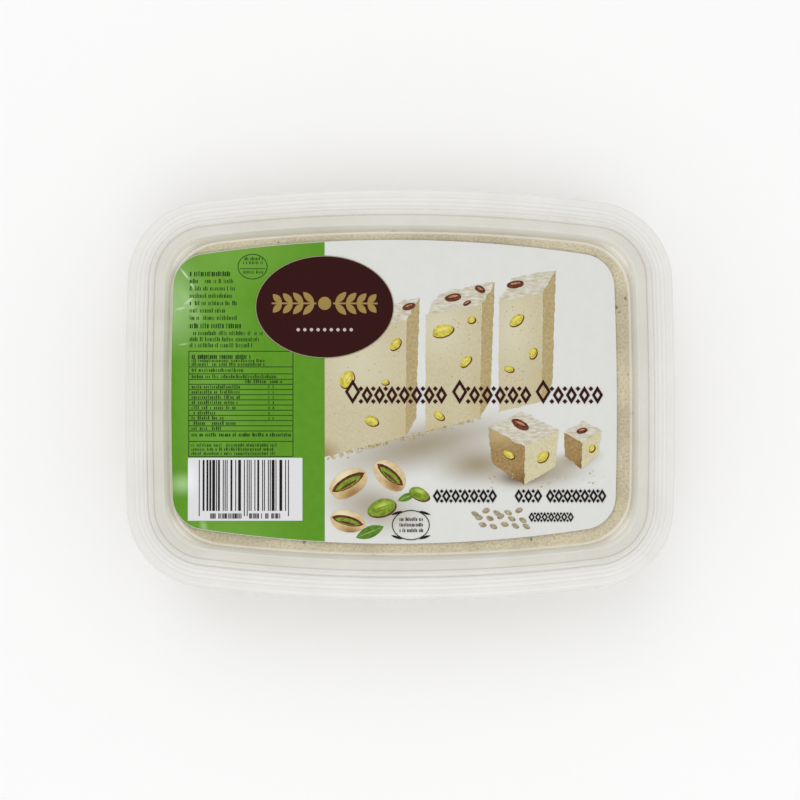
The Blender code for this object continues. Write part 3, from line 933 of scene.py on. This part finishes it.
# Slices of nut in the cut faces: dark skin thickest on one side, mottled yellow flesh, a
# pale middle and a cleft. Whole nuts in the tops keep their dark skin.
SLICES = (
    (-13.5, 3.4, 2.6, 0.72, 62), (-6.5, -8.5, 2.0, 0.66, -24), (0.4, 13.6, 1.9, 0.64, 52),
    (-2.6, 2.6, 1.0, 0.7, 0), (14.0, 17.4, 3.0, 0.6, 16), (20.6, 8.6, 1.9, 0.56, 48),
    (12.8, -7.0, 1.6, 0.64, -34), (22.2, 20.6, 1.1, 0.8, 20), (35.2, 20.5, 2.3, 0.58, 38),
    (39.8, 11.0, 1.6, 0.7, 74), (33.0, 6.4, 1.3, 0.64, -15), (32.8, -18.2, 1.7, 0.58, -32),
    (42.6, -18.8, 2.0, 0.62, 46), (56.6, -16.4, 1.1, 0.7, 60),
)
WHOLES = (
    (17.0, 27.0, 2.5, 0.46, 12), (35.0, 30.8, 2.6, 0.42, 10), (24.8, 29.4, 1.6, 0.6, -28),
    (4.2, 24.4, 2.0, 0.5, 18), (36.2, -9.6, 2.8, 0.46, -26), (53.8, -11.4, 1.7, 0.5, 12),
    (21.0, 25.4, 1.3, 0.5, 30),
)
skin_ink = ink_of("picture_nut_skin", (122, 66, 48), (66, 30, 26), 0.7, 1300.0)
flesh_ink = ink_of("picture_nut_flesh", (222, 208, 88), (172, 160, 44), 0.7, 1100.0)
pale_flesh_ink = ink_of("picture_pale_flesh", (228, 218, 118), (212, 198, 86), 0.7, 1300.0)
glint_ink = ink_of("picture_nut_glint", (202, 152, 106), (150, 96, 60), 0.7, 1300.0)


def nuts(shapes, grow=0.0, shift=(0.0, 0.0), seed=70):
    """Nut shapes, grown and shifted by millimetres."""
    return [
        nut_shape(x + shift[0], y + shift[1], size + grow, squash, turn, seed + number)
        for number, (x, y, size, squash, turn) in enumerate(shapes)
    ]


def within_nuts(shapes, length, width, up):
    """Leaf shapes inside nuts, as shares of their size, moved up by a share."""
    inner = []
    for x, y, size, squash, turn in shapes:
        angle = math.radians(turn)
        reach = Vector((math.cos(angle), math.sin(angle))) * size * length / 2
        start = x - reach.x, y - reach.y + up * size
        inner.append(leaf(*start, size * length, size * squash * width, turn, fullness=0.6))
    return inner


printed("picture_slice_skins", nuts(SLICES, 0.2, (0.18, -0.2)), 6, skin_ink)
printed("picture_slices", nuts(SLICES), 7, flesh_ink)
printed("picture_slice_middles", within_nuts(SLICES, 1.25, 0.9, 0.12), 8, pale_flesh_ink)
printed("picture_slice_clefts", within_nuts(SLICES, 0.8, 0.12, -0.06), 9, side_ink)
printed("picture_whole_nuts", nuts(WHOLES, seed=90), 7, skin_ink)
printed("picture_nut_glints", within_nuts(WHOLES, 1.2, 0.5, 0.14), 8, glint_ink)

# Split nuts: a shell with a lit side and a shaded side, the dark split and the kernel in
# it. Beside them lie loose kernels in part of their skin, and two leaves.
SHELLS = ((-13.2, -26.4, 6.0, 0.64, 30), (-1.2, -24.2, 5.4, 0.66, -40), (-13.4, -37.4, 5.2, 0.62, -14))
KERNELS = ((-3.6, -33.4, 4.1, 0.58, 18), (7.0, -29.4, 3.0, 0.56, -24))
LEAVES = ((-11.0, -42.0, 8.6, 3.4, 22), (1.0, -31.4, 5.4, 2.2, 22))


def nut_spots(shapes, right, up, length, width, colour):
    """Soft spots on nuts, shifted by millimetres, with half sizes as shares of theirs."""
    return [
        (x + right, y + up, size * length, size * width, turn, colour, 0.9)
        for x, y, size, _, turn in shapes
    ]


shell_spots = nut_spots(SHELLS, -1.4, 1.8, 0.9, 0.5, (234, 224, 190))
shell_spots += nut_spots(SHELLS, 1.2, -3.0, 1.0, 0.5, (150, 104, 56))
kernel_spots = nut_spots(KERNELS, 0.3, 0.7, 0.8, 0.36, (190, 204, 84))
shell_ink = ink_of("picture_shell", (214, 194, 148), (196, 172, 124), 0.7, 900.0, shell_spots)
split_ink = ink_of("picture_shell_split", (112, 62, 34), (66, 32, 22), 0.7, 900.0)
kernel_ink = ink_of("picture_kernel", (140, 160, 48), (88, 122, 34), 0.7, 900.0, kernel_spots)
leaf_ink = ink_of("picture_leaf", (98, 138, 44), (70, 110, 32), 0.7, 900.0)
vein_ink = ink_of("picture_leaf_vein", (150, 178, 88), (140, 168, 80))
printed("picture_leaves", [leaf(*values) for values in LEAVES], 3, leaf_ink)
printed("picture_leaf_veins", [leaf(x, y, s * 0.95, 0.3, t) for x, y, s, _, t in LEAVES], 4, vein_ink)
printed("picture_shells", picture_part(nuts(SHELLS, seed=50)), 5, shell_ink)
printed("picture_shell_splits", picture_part(within_nuts(SHELLS, 1.82, 0.86, 0.05)), 6, split_ink)
printed("picture_shell_kernels", picture_part(within_nuts(SHELLS, 1.4, 0.6, 0.0)), 7, kernel_ink)
printed("picture_shell_kernel_skins", picture_part(within_nuts(SHELLS, 1.0, 0.2, -0.08)), 8, skin_ink)
printed("picture_kernel_skins", nuts(KERNELS, 0.15, (0.25, -0.35), seed=55), 5, skin_ink)
printed("picture_kernels", nuts(KERNELS, seed=55), 7, kernel_ink)
printed("picture_kernel_clefts", within_nuts(KERNELS, 1.3, 0.1, 0.02), 8, leaf_ink)

# Seeds in a loose trail, crumbs at the feet of the pieces and fine specks on the faces.
SEEDS, SLAB_CRUMBS, CUBE_CRUMBS, SPECKS = 15, 150, 40, 110
draw = random.Random(90)
seeds, crumbs, specks = [], [], []
for number in range(SEEDS):
    x, y = 22.0 + number * 1.05, -34.6 - (number % 3) * 1.8 + draw.uniform(-0.3, 0.3)
    seeds.append(leaf(x, y, 2.2, 1.25, draw.uniform(-25, 30), fullness=0.6))
for number in range(SLAB_CRUMBS):
    x = draw.uniform(-19.0, 25.0)
    y = -18.9 + (x + 20) * 0.255 - abs(draw.gauss(0, 0.55))
    crumbs.append(nut_shape(x, y, 0.12 + 0.4 * draw.random() ** 3, 0.8, 0, number, steps=7))
for number in range(CUBE_CRUMBS):
    x, y = draw.uniform(26.0, 60.0), -25.2 + draw.gauss(0, 1.2)
    crumbs.append(nut_shape(x, y, 0.1 + 0.3 * draw.random() ** 3, 0.8, 0, number, steps=7))
for number in range(SPECKS):
    foot_left, foot_right, top_right, top_left = (Vector(p) for p in SLABS[number % 3])
    foot = foot_left.lerp(foot_right, draw.random())
    top = top_left.lerp(top_right, draw.random())
    place = foot.lerp(top, draw.uniform(0.04, 0.96))
    if place.x > FIELD_EDGE + 0.5:
        specks.append(nut_shape(place.x, place.y, draw.uniform(0.06, 0.15), 0.8, 0, number, steps=6))
seed_ink = ink_of("picture_seeds", (186, 178, 154), (128, 114, 88), 0.7, 900.0)
crumb_ink = ink_of("picture_crumb", (206, 194, 148), (156, 128, 78), 0.6, 900.0)
speck_ink = ink_of("picture_speck", (128, 116, 72), (92, 76, 44), 0.9, 700.0)
seed_shades = [[p + Vector((0.16, -0.2)) for p in seed] for seed in seeds]
printed("picture_seed_shades", seed_shades, 5, shade_ink)
printed("picture_seeds", seeds, 6, seed_ink)
printed("picture_crumbs", crumbs, 5, crumb_ink)
printed("picture_specks", specks, 5, speck_ink)

# The plaque across the two fields is a plain dark oval with a fine line and a sprig, with
# a row of beads under it.
PLAQUE = (FIELD_EDGE, 24.3, 19.9, 14.8)
PLAQUE_LINE = 0.22
SPRIG_Y, BEADS_Y = PLAQUE[1] + 1.0, PLAQUE[1] - 6.6
SPRIG_PAIRS = 4
brown_ink = ink_of("label_brown", (49, 7, 4), (44, 6, 4))
tan_ink = ink_of("label_tan", (158, 132, 74), (152, 126, 68))
cream_ink = ink_of("label_cream", (196, 184, 180), (190, 178, 174))
dull_ink = ink_of("label_dull_cream", (158, 152, 128), (150, 144, 120))
printed("plaque_oval", [ellipse(*PLAQUE, steps=72)], 8, brown_ink)
printed("plaque_line", [oval_line(*PLAQUE, PLAQUE_LINE)], 9, dull_ink)
half_sprig = []
for pair in range(SPRIG_PAIRS):
    for side in (1, -1):
        half_sprig.append(leaf(3.0 + pair * 3.1, SPRIG_Y, 4.6 - 0.3 * pair, 1.9, side * 46))
half_sprig.append(bar(2.4, SPRIG_Y, 12.8, 0.5))
sprig = [[Vector((p.x * side + FIELD_EDGE, p.y)) for p in loop] for side in (1, -1) for loop in half_sprig]
sprig.append(ellipse(FIELD_EDGE, SPRIG_Y, 1.9, 1.9))
printed("plaque_sprig", sprig, 9, tan_ink)
beads = [ellipse(FIELD_EDGE + 1.9 * n, BEADS_Y, 0.5, 0.5, steps=12) for n in range(-4, 5)]
printed("plaque_beads", beads, 9, cream_ink)


# Plain friezes of lozenges run across the picture, a large brown row and small black ones,
# and a small oval with strokes in it lies under them.
def lozenge(x, y, width, height):
    """A lozenge round a place."""
    tips = (-width / 2, 0), (0, -height / 2), (width / 2, 0), (0, height / 2)
    return [Vector((x + right, y + up)) for right, up in tips]


def frieze(left, right, foot, height, first_height, line, share=0.62):
    """Lozenge outlines side by side with small ones between them. The first is taller.
    Their width is a share of their height, and they fill the row from left to right."""
    first, width = first_height * share, height * share
    count = int((right - left - first) / width)
    gap = (right - left - first - count * width) / count
    shapes, place, size = [], left, first_height
    for number in range(count + 1):
        width = size * share
        middle = (place + width / 2, foot + size / 2)
        opening = 1 - line * math.hypot(width, size) * 2 / (width * size)
        shapes.append((lozenge(*middle, width, size), lozenge(*middle, width * opening, size * opening)))
        for rise in (0.15, 0.85) if number else ():
            shapes.append(lozenge(place - gap / 2, foot + height * rise, width * 0.44, height * 0.28))
        place += width + gap
        size = height
    return shapes


FRIEZES = (
    ("title_frieze_", -3.7, 5.2, 7.1, 0.78, brown_ink, ((-14.1, 15.2), (16.6, 39.4), (40.6, 60.0))),
    ("weight_frieze_", -32.1, 4.0, 4.0, 0.6, black_ink, ((11.0, 29.4), (34.4, 42.4), (43.4, 60.8))),
)
for name, foot, height, first_height, line, ink, spans in FRIEZES:
    for number, (left, right) in enumerate(spans, 1):
        printed(f"{name}{number}", frieze(left, right, foot, height, first_height, line), 9, ink)
printed("weight_frieze_below", frieze(38.4, 51.4, -37.6, 2.9, 2.9, 0.42), 9, black_ink)
SEAL_X, SEAL_Y = 4.7, -38.4
seal = [oval_line(SEAL_X, SEAL_Y, 5.4, 4.3, 0.24, steps=48)]
for side in (1, -1):
    for up in (1, -1):
        turn = 90 - side * 90 - side * up * 18
        seal.append(leaf(SEAL_X + side * 2.4, SEAL_Y + up * 4.0, 3.4, 0.7, turn))
printed("seal_lines", seal, 8, black_ink)
small_print(black_ink, 8, 31, "seal_strokes", SEAL_X - 3.2, SEAL_Y + 1.2, 6.4, 0.75, FINE, 3, 1.6)

# The set: a plain pale floor, soft light from all round with a large softbox in front and
# one behind, and a long lens almost straight above, which leans to the front.
LENS_DISTANCE = 1.1
LENS_LEAN = math.radians(4.5)
LENS_SIDE = math.radians(-1.5)
FRAME_WIDTH = 228.6 * MM
SENSOR = 36.0
FLOOR_SIZE = 4.0
ROOM_LIGHT = 0.76
SOFTBOX_SIZE = 0.6
AIM = Vector((-0.37 * MM, -2.34 * MM, LID_TOP))

floor_mesh = bpy.data.meshes.new("floor")
floor_corners = bar(-FLOOR_SIZE / 2, 0, FLOOR_SIZE, FLOOR_SIZE)
floor_mesh.from_pydata([(*p, 0) for p in floor_corners], [], [(0, 1, 2, 3)])
floor = placed("floor", floor_mesh)
floor_paint, _, floor_shader = new_finish("floor_paint", 0.8)
floor_shader.inputs["Base Color"].default_value = (0.97, 0.97, 0.97, 1)
floor_mesh.materials.append(floor_paint)

world = bpy.data.worlds.new("studio")
world.use_nodes = True
room = world.node_tree.nodes["Background"].inputs
room["Color"].default_value = (1, 1, 1, 1)
room["Strength"].default_value = ROOM_LIGHT
bpy.context.scene.world = world


def softbox(name, place, power):
    """A square area light that faces the tub."""
    lamp = bpy.data.lights.new(name, "AREA")
    lamp.shape = "SQUARE"
    lamp.size = SOFTBOX_SIZE
    lamp.energy = power
    box = placed(name, lamp)
    box.location = place
    box.rotation_euler = (-Vector(place)).to_track_quat("-Z", "Y").to_euler()


softbox("softbox_front", (0.1, -0.5, 1.0), 2.3)
softbox("softbox_back", (-0.2, 0.6, 0.9), 1.5)

lens = bpy.data.cameras.new("camera")
lens.sensor_width = SENSOR
lens.lens = SENSOR * LENS_DISTANCE / FRAME_WIDTH
camera = placed("camera", lens)
back = Vector((math.sin(LENS_SIDE), -math.sin(LENS_LEAN), math.cos(LENS_LEAN))).normalized()
camera.location = AIM + back * LENS_DISTANCE
across = (Vector((1, 0, 0)) - back * back.x).normalized()
camera.rotation_euler = Matrix((across, back.cross(across), back)).transposed().to_euler()
bpy.context.scene.camera = camera
bpy.context.scene.view_settings.view_transform = "Standard"
